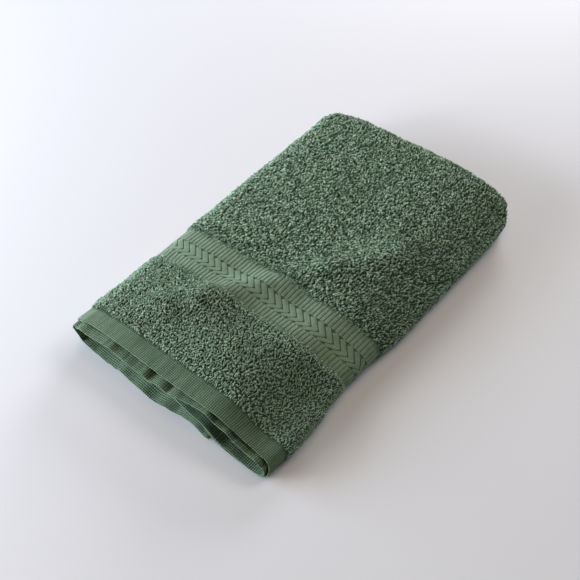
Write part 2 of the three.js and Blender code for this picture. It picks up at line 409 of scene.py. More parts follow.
    def relief(self, flat: Array, along: Array) -> Array:
        """How far the outer layer's face stands up or dips.

        Args:
            flat: Places across the flat cloth.
            along: Places along it.

        Returns:
            The heights, which are 0 where the cloth is woven flat.
        """
        terry = (1 - self.in_border(along)) * (1 - self.in_hem(along))
        far = rise(self.border[0], self.border[1], along)
        fine = self.near_lumps(flat, along) * (1 - far) + self.far_lumps(flat, along) * far
        return terry * fine

    def upper_run(self, along: Array) -> Run:
        """The outer layer, from its hem's edge over the far bend.

        Args:
            along: Distances from the hem's edge over the cloth.

        Returns:
            The places there.
        """
        over = np.clip((along - self.far_flat_end) / self.outer, 0.0, math.pi)
        return Run(
            y=np.minimum(along, self.far_flat_end),
            past=self.outer * np.sin(over),
            depth=self.outer * np.cos(over),
            ny=np.sin(over),
            nt=np.cos(over),
            cloth=along,
            thickness=self.thickness(along),
            hem=np.full(along.shape, Hem.OUTER.value),
        )

    def points(self, across: Array, run: Run, lift: Array) -> Array:
        """Where places on the cloth lie once it is folded.

        Args:
            across: Places across, from 0 to 5.
            run: Places along the cloth, of a shape that meets them.
            lift: How far from the middle of the cloth's thickness each point stands, on its upper face's side.

        Returns:
            The points in Blender's metres, in the frame of the part.
        """
        outer, inner = run.hem == Hem.OUTER.value, run.hem == Hem.INNER.value
        reach = np.where(outer, self.outer_reach(across), np.where(inner, self.inner_reach(across), 0.0))
        reach = reach + self.hem_spare * (outer | inner)
        sink = np.where(outer, self.outer_drop(across), np.where(inner, self.inner_drop(across), 0.0))
        border_end = self.border_edges[1]
        flat_end = self.length - self.set_back(across) - self.half_pack - self.pile_room
        stretch = (flat_end - border_end) / (self.far_flat_end - border_end)
        y = np.where(run.y > border_end, border_end + (run.y - border_end) * stretch, run.y)
        x, z, nx, nz = self.section(across + 0 * y, y)
        along_y = y + run.past - reach * (1 - rise(0.0, self.near_end_reach, y))
        flat = self.flat(across)
        apart, shift = self.waves_apart
        wave = self.waves(flat + apart * run.hem, self.wave_stretch * run.cloth + shift * run.hem)
        wave = wave + self.inner_waves(flat, self.inner_wave_stretch * run.cloth) * inner
        wave = wave * (run.hem > 0) * (1 - rise(*self.waves_end, y))
        wave = wave * np.where(outer, self.waved(across), self.inner_waved)
        broad = self.broad_lumps(flat, run.cloth) * outer * rise(self.middle_z, self.top_z, z)
        face = np.stack(np.broadcast_arrays(nx * run.nt, run.ny + 0 * x, nz * run.nt), -1)
        face = face / np.linalg.norm(face, axis=-1, keepdims=True)
        z = z + nz * run.depth - sink * (1 - rise(*self.drop_band, along_y)) + broad
        middle = np.stack(np.broadcast_arrays(x + nx * run.depth, along_y, z + wave), -1)
        place = middle + face * np.asarray(lift)[..., None]
        lifted = sum(ridge(place[..., 0], place[..., 1]) for ridge in self.ridges)
        place[..., 2] += lifted * rise(self.middle_z, self.top_z, place[..., 2]) * outer
        sunk = sum(sag(place[..., 0], place[..., 1]) for sag in self.sags)
        place[..., 2] *= 1 + sunk / (self.top_z + self.half_pack)
        low = self.clearance
        pressed = low * np.exp(np.minimum(place[..., 2], low) / low - 1)
        place[..., 2] = np.where(place[..., 2] < low, pressed, place[..., 2])
        start = np.array(self.corner) + np.array([0.0, self.hem_reach * MM, 0.0])
        return place * MM + start

    def laid(self, flat: Array, along: Array, lift: Array) -> Array:
        """Where things made on the flat cloth lie, on the outer layer's face.

        Args:
            flat: Distances across the flat cloth from its lower selvage.
            along: Distances from the outer hem's edge.
            lift: Heights above the cloth's face.

        Returns:
            The points in metres.
        """
        run, across = self.upper_run(along), self.across(flat)
        below = rise(0.9, 1.0, -self.section(across, run.y)[3]) * (run.nt > 0)
        away = np.min([np.abs(along - edge) for edge in (self.hem_width, *self.border)], axis=0)
        kept = self.edge_low + (1 - self.edge_low) * rise(0.0, self.edge_slope, away)
        lift = lift * np.where(lift > 0, kept * (1 - (1 - self.pressed) * below), 1.0)
        return self.points(across, run, run.thickness / 2 + self.relief(flat, along) + lift)


class Field:
    """One output of a node, with Python's arithmetic on it."""

    def __init__(self, tree: "Tree", socket: bpy.types.NodeSocket) -> None:
        """Wraps a socket of a tree."""
        self.tree, self.socket = tree, socket

    def maths(self, operation: str, *values: "Field | float") -> "Field":
        """A Math node on this value.

        Args:
            operation: The Math node's operation.
            values: What comes first and after, this value among them.

        Returns:
            The node's output.
        """
        return self.tree.node("ShaderNodeMath", {"operation": operation}, dict(enumerate(values)))

    def __add__(self, other: "Field | float") -> "Field":
        """self + other"""
        return self.maths("ADD", self, other)

    def __radd__(self, other: float) -> "Field":
        """other + self"""
        return self.maths("ADD", other, self)

    def __sub__(self, other: "Field | float") -> "Field":
        """self - other"""
        return self.maths("SUBTRACT", self, other)

    def __rsub__(self, other: float) -> "Field":
        """other - self"""
        return self.maths("SUBTRACT", other, self)

    def __mul__(self, other: "Field | float") -> "Field":
        """self * other"""
        return self.maths("MULTIPLY", self, other)

    def __rmul__(self, other: float) -> "Field":
        """other * self"""
        return self.maths("MULTIPLY", other, self)

    def __truediv__(self, other: "Field | float") -> "Field":
        """self / other"""
        return self.maths("DIVIDE", self, other)

    def __rtruediv__(self, other: float) -> "Field":
        """other / self"""
        return self.maths("DIVIDE", other, self)

    def sine(self) -> "Field":
        """The sine of this value."""
        return self.maths("SINE", self)

    def absolute(self) -> "Field":
        """This value without its sign."""
        return self.maths("ABSOLUTE", self)

    def clamped(self) -> "Field":
        """This value held between 0 and 1."""
        return self.maths("MINIMUM", self.maths("MAXIMUM", self, 0.0), 1.0)

    def above(self, low: float) -> "Field":
        """A share from 0 to 1, as one from low to 1."""
        return self * (1.0 - low) + low


class Tree:
    """A node tree under construction, of a material or of Geometry Nodes."""

    def __init__(self, tree: bpy.types.NodeTree) -> None:
        """Takes an empty tree."""
        self.tree = tree

    def node(
        self,
        kind: str,
        settings: dict | None = None,
        inputs: dict | None = None,
        out: int | str = 0,
    ) -> Field:
        """Adds one node.

        Args:
            kind: Its type.
            settings: Its own settings, which are set first.
            inputs: Values or links for its sockets, by name or number.
            out: The output that is wanted.

        Returns:
            That output.
        """
        made = self.tree.nodes.new(kind)
        for name, value in (settings or {}).items():
            setattr(made, name, value)
        for name, value in (inputs or {}).items():
            if isinstance(value, Field):
                self.tree.links.new(value.socket, made.inputs[name])
            else:
                made.inputs[name].default_value = value
        return Field(self, made.outputs[out]) if made.outputs else Field(self, None)

    def attribute(self, name: str, out: str = "Fac") -> Field:
        """A value that the mesh holds under a name."""
        return self.node("ShaderNodeAttribute", {"attribute_name": name}, out=out)

    def part(self, vector: Field, axis: str) -> Field:
        """One of a vector's three numbers."""
        return self.node("ShaderNodeSeparateXYZ", {}, {0: vector}, out=axis)

    def noise(self, place: Field, scale: float, detail: float) -> Field:
        """Soft noise, from about 0 to 1."""
        return self.node("ShaderNodeTexNoise", {}, {"Vector": place, "Scale": scale, "Detail": detail})

    def mixed(self, share: Field | float, low: Field | tuple, high: Field | tuple) -> Field:
        """A colour between two others."""
        return self.node("ShaderNodeMix", {"data_type": "RGBA"}, {0: share, 6: low, 7: high}, out=2)


Colour = tuple[float, float, float, float]


def new_material(name: str) -> tuple[bpy.types.Material, Tree]:
    """Makes an empty material.

    Args:
        name: Its name.

    Returns:
        The material and its tree.
    """
    material = bpy.data.materials.new(name)
    material.use_nodes = True
    material.node_tree.nodes.clear()
    return material, Tree(material.node_tree)


def close_material(tree: Tree, shader: dict) -> None:
    """Ends a material in a Principled shader with the given inputs."""
    surface = tree.node("ShaderNodeBsdfPrincipled", {}, shader)
    tree.node("ShaderNodeOutputMaterial", {}, {"Surface": surface})


@dataclass(frozen=True)
class CottonFinish:
    """What the towel's cotton shares in all its weaves: matt, with a soft green sheen and a fine relief."""

    roughness: float = 0.9
    specular: float = 0.1
    sheen: float = 0.12
    sheen_roughness: float = 0.6
    sheen_tint: Colour = (0.7, 0.9, 0.74, 1)
    relief: float = 0.0003
    relief_strength: float = 1.0

    def close(self, tree: Tree, colour: Field, height: Field) -> None:
        """Ends a material in its shader.

        Args:
            tree: The material's tree.
            colour: The cotton's colour.
            height: Its fine relief, as a share of the relief field.
        """
        normal = tree.node("ShaderNodeBump", {}, {
            "Strength": self.relief_strength,
            "Distance": self.relief,
            "Height": height,
        })
        close_material(tree, {
            "Base Color": colour,
            "Roughness": self.roughness,
            "Sheen Weight": self.sheen,
            "Sheen Roughness": self.sheen_roughness,
            "Sheen Tint": self.sheen_tint,
            "Specular IOR Level": self.specular,
            "Normal": normal,
        })


@dataclass(frozen=True)
class YarnFinish(CottonFinish):
    """The cotton of the terry's loops: matt and soft, each loop a little lighter or darker, painted dark at its
    root.

    The dark roots are painted shade, and root_share shapes how it fades up the loop. The loops also get painted
    shade along the border's far edge and on the rolled left fold, where they would catch too much light.
    far_edge and left_roll say where these lie on the flat cloth, edge_fade and roll_fade how fast the tone comes
    back beyond them, and edge_tone and roll_tone what share of it is left there.
    """

    root_shade: Colour = (0.020, 0.050, 0.023, 1)
    dark: Colour = (0.090, 0.172, 0.100, 1)
    light: Colour = (0.560, 0.765, 0.580, 1)
    roughness: float = 0.92
    specular: float = 0.08
    relief_strength: float = 0.35
    cloud_scale: float = 0.045
    cloud_share: float = 0.4
    twist_scale: float = 3.2
    root_share: float = 0.4
    far_edge: float = 142.0
    edge_fade: float = 0.16
    edge_tone: float = 0.4
    left_roll: float = 188.0
    roll_fade: float = 0.045
    roll_tone: float = 0.6

    def material(self) -> bpy.types.Material:
        """Builds the finish.

        Returns:
            The material.
        """
        material, tree = new_material("terry loops")
        flat = tree.attribute("flat", "Vector")
        cloud = (tree.noise(flat, self.cloud_scale, 3.0) - 0.5) * self.cloud_share
        # Painted shade: the loops are darker along the border's far edge and on the rolled left fold.
        edge = ((tree.part(flat, "Y") - self.far_edge).absolute() * self.edge_fade).clamped()
        side = ((tree.part(flat, "X") - self.left_roll) * self.roll_fade).clamped()
        tone = (tree.attribute("tone") + cloud).clamped()
        own = tree.mixed(tone * edge.above(self.edge_tone) * side.above(self.roll_tone), self.dark, self.light)
        # Painted shade: the loops grow darker towards their roots.
        height = tree.attribute("lift").clamped()
        colour = tree.mixed(height * height.above(self.root_share), self.root_shade, own)
        self.close(tree, colour, tree.noise(flat, self.twist_scale, 2.0))
        return material


@dataclass(frozen=True)
class ClothFinish(CottonFinish):
    """The woven ground: a plain square weave in the hems, fine weft ribs in the border, painted shade at the
    pile's roots.

    thread and weft are the pitches of the threads across and along, and streak how fast the streaks change
    across and along; the streaks are painted light and shade of the cloth's puckers. Up to left_edge across the
    flat cloth the weave is painted lighter, a painted pool of light from the left, and left_fade is how fast
    that dies away beyond it. warp_light and the names after it say how much each pattern adds to the weave's
    lightness, and shade what is taken off it. root is the painted shade in the gaps between the pile's tufts.
    """

    weave: Colour = (0.032, 0.064, 0.035, 1)
    weave_light: Colour = (0.176, 0.262, 0.168, 1)
    root: Colour = (0.050, 0.082, 0.052, 1)
    roughness: float = 0.88
    specular: float = 0.12
    sheen_roughness: float = 0.55
    relief: float = 0.0005
    thread: float = 1.9
    weft: float = 1.71
    streak: tuple[float, float] = (0.45, 0.05)
    left_edge: float = 205.0
    left_fade: float = 0.016
    warp_light: float = 0.42
    weft_light: float = 0.3
    uneven_light: float = 0.9
    cloud_light: float = 0.25
    painted_pucker_light: float = 0.9
    left_painted_light: float = 0.42
    shade: float = 0.56
    tuft_scale: float = 0.55
    tuft_height: float = 1.5

    def material(self) -> bpy.types.Material:
        """Builds the finish.

        Returns:
            The material.
        """
        material, tree = new_material("woven ground")
        flat = tree.attribute("flat", "Vector")
        terry = tree.attribute("terry").clamped()
        place, up = tree.part(flat, "X"), tree.part(flat, "Y")
        warp = (place * (2 * math.pi / self.thread)).sine() * self.warp_light
        weft = (up * (2 * math.pi / self.weft)).sine() * self.weft_light
        uneven = tree.noise(flat, 0.9, 3.0)
        # Painted light and shade of the cloth's puckers, as streaks that run along the cloth.
        streaks = {"X": place * self.streak[0], "Y": up * self.streak[1]}
        streaks = tree.noise(tree.node("ShaderNodeCombineXYZ", {}, streaks), 1.0, 3.0) * self.painted_pucker_light
        weave = (warp + weft) * (uneven * 1.7) + uneven * self.uneven_light
        # Painted light: the weave is lighter towards the left, up to left_edge.
        left = (1.0 - (place - self.left_edge) * self.left_fade).clamped() * self.left_painted_light
        cloud = tree.noise(flat, 0.05, 2.0) * self.cloud_light
        plain = tree.mixed((weave + cloud + streaks + left - self.shade).clamped(), self.weave, self.weave_light)
        # Painted shade in the gaps between the pile's tufts.
        tufts = tree.node("ShaderNodeTexVoronoi", {}, {"Vector": flat, "Scale": self.tuft_scale}, out="Distance")
        pile = tree.mixed((1.0 - tufts).clamped(), self.root, self.weave)
        height = weave * (1.0 - terry) + (1.0 - tufts) * self.tuft_height * terry
        self.close(tree, tree.mixed(terry, plain, pile), height)
        return material


@dataclass(frozen=True)
class RibFinish(CottonFinish):
    """The raised floats of the border: smoother than the ground, with fine weft lines over each rib, and a
    painted highlight along each rib's crown that leaves its sides and the grooves darker, a painted shade.

    line is the pitch of those lines. The fields whose names end in _light say how much each pattern adds to the
    rib's lightness, the crown's being the painted highlight, and shade what is taken off it.
    """

    low: Colour = (0.034, 0.062, 0.032, 1)
    high: Colour = (0.245, 0.350, 0.240, 1)
    roughness: float = 0.82
    specular: float = 0.15
    sheen_roughness: float = 0.5
    relief_strength: float = 0.6
    line: float = 1.3
    painted_crown_light: float = 0.6
    line_light: float = 0.2
    uneven_light: float = 0.6
    cloud_light: float = 0.5
    shade: float = 0.5
    line_height: float = 0.35
    uneven_height: float = 0.7

    def material(self) -> bpy.types.Material:
        """Builds the finish.

        Returns:
            The material.
        """
        material, tree = new_material("border ribs")
        flat = tree.attribute("flat", "Vector")
        lines = (tree.part(flat, "Y") * (2 * math.pi / self.line)).sine()
        uneven = tree.noise(flat, 1.1, 3.0)
        # Painted highlight on each rib's crown; lower on the rib it is darker, a painted shade.
        crown = tree.attribute("lift").clamped()
        light = crown * crown * self.painted_crown_light + lines * self.line_light + uneven * self.uneven_light
        light = (light + tree.noise(flat, 0.16, 2.0) * self.cloud_light - self.shade).clamped()
        height = lines * self.line_height + uneven * self.uneven_height
        self.close(tree, tree.mixed(light, self.low, self.high), height)
        return material


@dataclass(frozen=True)
class FloorFinish:
    """Smooth pale card."""

    colour: Colour = (0.74, 0.742, 0.775, 1)
    clouded: float = 0.985
    roughness: float = 0.9

    def material(self) -> bpy.types.Material:
        """Builds the finish.

        Returns:
            The material.
        """
        material, tree = new_material("pale floor")
        cloud = tree.noise(tree.node("ShaderNodeTexCoord", {}, {}, out="Object"), 1.5, 1.0)
        other = tuple(part * self.clouded for part in self.colour[:3]) + (1,)
        close_material(tree, {"Base Color": tree.mixed(cloud, self.colour, other), "Roughness": self.roughness})
        return material


def mesh_object(name: str, mesh: bpy.types.Mesh) -> bpy.types.Object:
    """Links a mesh to the scene under a name.

    Args:
        name: The piece's name.
        mesh: Its mesh, in place.

    Returns:
        The object, at the origin.
    """
    mesh.name = name
    made = bpy.data.objects.new(name, mesh)
    bpy.context.scene.collection.objects.link(made)
    return made


def write_attribute(mesh: bpy.types.Mesh, name: str, values: Array) -> None:
    """Writes one number or one vector for each point of a mesh.

    Args:
        mesh: The mesh.
        name: The attribute's name.
        values: The numbers, as one or three columns.
    """
    vector = values.ndim == 2
    made = mesh.attributes.new(name, "FLOAT_VECTOR" if vector else "FLOAT", "POINT")
    made.data.foreach_set("vector" if vector else "value", values.astype(np.float32).ravel())


def dress(piece: bpy.types.Object, replaced: bool = False) -> bpy.types.Object:
    """Lets a finished piece ride on the body, and hides the part's own solid where the piece stands for it.

    Args:
        piece: The piece.
        replaced: True if it stands for the part's own solid.

    Returns:
        The same piece.
    """
    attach(piece, "root")
    if replaced:
        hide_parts("towel")
    LOG.info("%s: %d faces", piece.name, len(piece.data.polygons))
    return piece


@dataclass
class FoldedCloth:
    """The whole cloth as one closed sheet in its folds, with its hems and the ground of its borders."""

    fold: Fold
    finish: ClothFinish
    cut: tuple[float, float] = (0.615, 1.40)
    top_columns: int = 96
    fold_columns: int = 22
    under_columns: int = 26
    edge: tuple[float, ...] = (0.0, 0.25, 0.7)
    edge_thickness: tuple[float, ...] = (0.25, 0.75, 1.0)
    outer_spacing: float = 3.8
    inner_spacing: float = 14.0
    hidden_spacing: float = 24.0
    hem_spacing: float = 2.4
    wide_bend_steps: int = 10
    tight_bend_steps: int = 6

    def columns(self) -> Array:
        """Lays out the places across the section, close together on top and round the folds.

        Returns:
            The places, from 0 to 5.
        """
        counts = (self.under_columns, self.fold_columns, self.top_columns, self.fold_columns, self.under_columns)
        parts = [start + np.linspace(0.0, 1.0, count, endpoint=False) for start, count in enumerate(counts)]
        return np.concatenate([*parts, [5.0]])

    def hemmed(self, depth: float, face: float, hem: Hem, spacing: float) -> Run:
        """One layer from its hem's edge to the start of the far bend.

        Args:
            depth: How far it lies from the pack's middle.
            face: 1 if the cloth's upper face looks out of the fold, else -1.
            hem: Its hem.
            spacing: How far apart its places are.

        Returns:
            The places.
        """
        f = self.fold
        start, end = f.border
        stops = [
            *self.edge,
            *np.arange(2.0, f.hem_width - 0.5, min(spacing, self.hem_spacing)),
            *(f.hem_width + f.step * share for share in (0.0, 0.5, 1.0)),
            *np.arange(f.hem_width + 3.5, start - f.step - 1.0, spacing),
            *(start - f.step * share for share in (1.0, 0.5, 0.0)),
            *np.arange(start + spacing, end - 1.0, spacing),
            *(end + f.step * share for share in (0.0, 0.5, 1.0)),
            *np.arange(end + f.step + spacing, f.far_flat_end - 1.0, spacing),
        ]
        y = np.array(stops)
        thickness = f.thickness(y)
        thickness[: len(self.edge)] *= np.array(self.edge_thickness)
        same = np.ones_like(y)
        return Run(y, 0 * y, depth * same, 0 * y, face * same, y, thickness, hem.value * same)

    def plain(self, depth: float, face: float) -> Run:
        """A hidden layer between the closed near fold and the far bend.

        Args:
            depth: How far it lies from the pack's middle.
            face: 1 if the cloth's upper face looks out of the fold, else -1.

        Returns:
            The places.
        """
        spacing = self.hidden_spacing
        y = np.arange(self.fold.closed_fold_y + spacing, self.fold.far_flat_end - 1.0, spacing)
        same = np.ones_like(y)
        thickness = self.fold.terry_thickness * same
        return Run(y, 0 * y, depth * same, 0 * y, face * same, y, thickness, Hem.NONE.value * same)

    def bend(self, y: float, depth: float, radius: float, way: tuple[float, float, float], steps: int) -> Run:
        """Half a turn of the cloth about a line across the pack.

        Args:
            y: Where that line lies along the pack.
            depth: Where it lies in the pack's depth.
            radius: The bend's radius to the middle of the cloth.
            way: Which end it bulges to, the side of the depth where it starts, and 1 where the upper face is
                outside or -1 where it is inside.
            steps: How many steps it takes.

        Returns:
            The places.
        """
        end, start, face = way
        turn = np.linspace(0.0, math.pi, steps + 1)
        along, across = end * np.sin(turn), start * np.cos(turn)
        same = np.ones_like(turn)
        thickness = self.fold.terry_thickness * same
        outer = Hem.OUTER.value if radius > self.fold.inner else Hem.NONE.value
        return Run(
            y=y * same,
            past=radius * along,
            depth=depth + radius * across,
            ny=face * along,
            nt=face * across,
            cloth=y + radius * turn,
            thickness=thickness,
            hem=outer * same,
        )

    def run(self) -> Run:
        """Follows the whole cloth from its outer hem to its inner one.

        Returns:
            The places along it.
        """
        f = self.fold
        wide, tight = self.wide_bend_steps, self.tight_bend_steps
        return Run.joined([
            self.hemmed(f.outer, 1.0, Hem.OUTER, self.outer_spacing),
            self.bend(f.far_flat_end, 0.0, f.outer, (1.0, 1.0, 1.0), wide),
            self.turned(self.plain(-f.outer, -1.0)),
            self.bend(f.closed_fold_y, -f.layer_pitch, f.inner, (-1.0, -1.0, 1.0), tight),
            self.plain(-f.inner, 1.0),
            self.bend(f.far_flat_end, 0.0, f.inner, (1.0, -1.0, -1.0), tight),
            self.turned(self.hemmed(f.inner, -1.0, Hem.INNER, self.inner_spacing)),
        ])

    @staticmethod
    def turned(run: Run) -> Run:
        """The same places in the other order."""
        return Run(*(getattr(run, name)[::-1] for name in Run.__dataclass_fields__))

    def build(self) -> bpy.types.Object:
        """Makes the cloth's mesh in its folds.

        Returns:
            The dressed piece.
        """
        f = self.fold
        run, columns = self.run().column(), self.columns()[None, :]
        flat = f.flat(columns) + 0 * run.y
        outer = (run.hem == Hem.OUTER.value) & (run.nt > -0.5)
        relief = np.where(outer, f.relief(flat, run.cloth + 0 * flat), 0.0)
        upper = f.points(columns, run, run.thickness / 2 + relief)
        under = f.points(columns, run, -run.thickness / 2 + 0 * flat)
        rows, count = flat.shape
        points = np.stack([upper, under], 2).reshape(-1, 3)
        index = np.arange(rows * count * 2).reshape(rows, count, 2)
        mesh = bpy.data.meshes.new("cloth")
        mesh.from_pydata(points.tolist(), [], self.faces(index))
        mesh.polygons.foreach_set("use_smooth", np.ones(len(mesh.polygons), bool))
        along = run.cloth + 0 * flat
        side = np.stack([np.zeros_like(flat), np.ones_like(flat)], 2)
        where = np.stack([np.repeat(flat[..., None], 2, 2), np.repeat(along[..., None], 2, 2), side], -1)
        write_attribute(mesh, "flat", where.reshape(-1, 3))
        hemmed = run.hem + 0 * flat > 0
        woven = np.where(hemmed, np.maximum(f.in_border(along), f.in_hem(along)), 0.0)
        write_attribute(mesh, "terry", np.repeat(1 - woven.reshape(-1), 2))
        mesh.materials.append(self.finish.material())
        mesh.update()
        return dress(mesh_object("cloth", mesh), replaced=True)

    @staticmethod
    def faces(index: Array) -> list[tuple[int, ...]]:
        """The four-sided faces of a closed sheet.

        Args:
            index: The points' numbers, by row, column and face.

        Returns:
            The faces, which look outwards.
        """
        def quads(a: Array, b: Array, c: Array, d: Array) -> Array:
            """Faces from four arrays of corners."""
            return np.stack([a.ravel(), b.ravel(), c.ravel(), d.ravel()], 1)

        up, down = index[..., 0], index[..., 1]
        first, last = index[0], index[-1]
        left, right = index[:, 0], index[:, -1]
        faces = [
            quads(up[:-1, :-1], up[:-1, 1:], up[1:, 1:], up[1:, :-1]),
            quads(down[1:, :-1], down[1:, 1:], down[:-1, 1:], down[:-1, :-1]),
            quads(first[:-1, 0], first[:-1, 1], first[1:, 1], first[1:, 0]),
            quads(last[1:, 0], last[1:, 1], last[:-1, 1], last[:-1, 0]),
            quads(left[1:, 0], left[1:, 1], left[:-1, 1], left[:-1, 0]),
            quads(right[:-1, 0], right[:-1, 1], right[1:, 1], right[1:, 0]),
        ]
        return np.concatenate(faces).tolist()


class Maker:
    """A Geometry Nodes tree with named inputs, and the meshes that it makes on the flat cloth."""

    name = ""
    sizes: dict[str, float] = {}

    def __init__(self, fold: Fold, material: bpy.types.Material) -> None:
        """Builds the tree.

        Args:
            fold: How the towel lies.
            material: The finish of what is made.
        """
        self.fold, self.material = fold, material
        self.group = bpy.data.node_groups.new(self.name, "GeometryNodeTree")
        self.group.interface.new_socket("Geometry", in_out="OUTPUT", socket_type="NodeSocketGeometry")
        self.group.interface.new_socket("Geometry", in_out="INPUT", socket_type="NodeSocketGeometry")
        for name, value in self.sizes.items():
            kind = "NodeSocketInt" if isinstance(value, int) else "NodeSocketFloat"
            self.group.interface.new_socket(name, in_out="INPUT", socket_type=kind).default_value = value
        self.group.interface.new_socket("Material", in_out="INPUT", socket_type="NodeSocketMaterial")
        self.tree = Tree(self.group)
        self.inputs = self.group.nodes.new("NodeGroupInput")
        made = self.tree.node("GeometryNodeRealizeInstances", {}, {0: self.grow()})
        made = self.tree.node("GeometryNodeSetShadeSmooth", {}, {0: made, "Shade Smooth": True})
        made = self.tree.node("GeometryNodeSetMaterial", {}, {0: made, "Material": self.given("Material")})
        self.tree.node("NodeGroupOutput", {}, {0: made})

    def grow(self) -> Field:
        """The nodes that make the instances."""
        raise NotImplementedError

    def given(self, name: str) -> Field:
        """A named input of the tree."""
        return Field(self.tree, self.inputs.outputs[name])

    def random(self, low: "Field | float", high: "Field | float", seed: int) -> Field:
        """A random number for each point, with a seed of its own beside the tree's."""
        inputs = {2: low, 3: high, "Seed": self.given("Seed") + seed}
        return self.tree.node("FunctionNodeRandomValue", {"data_type": "FLOAT"}, inputs, out=1)

    def vector(self, x: "Field | float", y: "Field | float", z: "Field | float") -> Field:
        """Three numbers as a vector."""
        return self.tree.node("ShaderNodeCombineXYZ", {}, {0: x, 1: y, 2: z})

    def stored(self, geometry: Field, name: str, value: Field, domain: str = "POINT") -> Field:
        """The geometry with a value kept under a name."""
        settings, inputs = {"data_type": "FLOAT", "domain": domain}, {0: geometry, "Name": name, "Value": value}
        return self.tree.node("GeometryNodeStoreNamedAttribute", settings, inputs)

    def lifted(self, mesh: Field, height: Field) -> Field:
        """The mesh with each point's height kept, as a share of a full height."""
        place = self.tree.node("GeometryNodeInputPosition")
        return self.stored(mesh, "lift", self.tree.part(place, "Z") / height)

    def tube(self, line: Field, outline: Field) -> Field:
        """A closed mesh of an outline along a line."""
        inputs = {"Curve": line, "Profile Curve": outline, "Fill Caps": True}
        return self.tree.node("GeometryNodeCurveToMesh", {}, inputs)

    def strand(self, ends: tuple[Field, Field], middle: Field, radius: Field, steps: tuple[int, int]) -> Field:
        """A closed strand of yarn or thread along an arch.

        Args:
            ends: Where the arch starts and ends.
            middle: The point that it bends towards.
            radius: The strand's radius.
            steps: How many steps the arch takes, and how many sides the strand has.

        Returns:
            The strand's mesh.
        """
        points = {"Start": ends[0], "Middle": middle, "End": ends[1]}
        arch = self.tree.node("GeometryNodeCurveQuadraticBezier", {}, {"Resolution": steps[0], **points})
        outline = {"Resolution": steps[1], "Radius": radius}
        return self.tube(arch, self.tree.node("GeometryNodeCurvePrimitiveCircle", {}, outline))

    def placed(self, points: Field, instance: Field, **inputs: Field) -> Field:
        """Instances of a mesh on points."""
        inputs = {"Points": points, "Instance": instance, **inputs}
        return self.tree.node("GeometryNodeInstanceOnPoints", {}, inputs)

    def row(self, count: str, pitch: str) -> Field:
        """Points in a row across the cloth, by the names of their count and their pitch."""
        step = self.vector(self.given(pitch), 0.0, 0.0)
        return self.tree.node("GeometryNodeMeshLine", {}, {"Count": self.given(count), "Offset": step})

    def made(self, name: str, sizes: dict[str, float], base: bpy.types.Mesh | None = None) -> bpy.types.Mesh:
        """Runs the tree with some of its sizes changed.

        Args:
            name: The mesh's name.
            sizes: Values of named inputs, with underscores or spaces.
            base: The mesh that the tree starts from, if it has one.

        Returns:
            The plain mesh that comes out.
        """
        host = mesh_object(name, base or bpy.data.meshes.new(name))
        modifier = host.modifiers.new(self.name, "NODES")
        modifier.node_group = self.group
        sockets = [item for item in self.group.interface.items_tree if item.in_out == "INPUT"]
        identifiers = {socket.name: socket.identifier for socket in sockets}
        own = {key.replace("_", " ").title(): value for key, value in sizes.items()}
        for key, value in {**self.sizes, **own, "Material": self.material}.items():
            modifier[identifiers[key]] = value
        graph = bpy.context.evaluated_depsgraph_get()
        mesh = bpy.data.meshes.new_from_object(host.evaluated_get(graph), depsgraph=graph)
        host.modifiers.remove(modifier)
        bpy.data.objects.remove(host)
        return mesh

    def folded(self, name: str, mesh: bpy.types.Mesh, flat: float, along: float) -> bpy.types.Object:
        """Lays a flat mesh on the folded cloth.

        Args:
            name: The piece's name.
            mesh: The mesh, flat, in millimetres.
            flat: Where its middle goes across the flat cloth.
            along: Where its middle goes along the cloth.

        Returns:
            The dressed piece.
        """
        points = np.zeros(len(mesh.vertices) * 3, np.float32)
        mesh.vertices.foreach_get("co", points)
        points = points.reshape(-1, 3).astype(float) + np.array([flat, along, 0.0])
        write_attribute(mesh, "flat", points)
        laid = self.fold.laid(points[:, 0], points[:, 1], points[:, 2])
        mesh.vertices.foreach_set("co", laid.astype(np.float32).ravel())
        mesh.update()
        return dress(mesh_object(name, mesh))


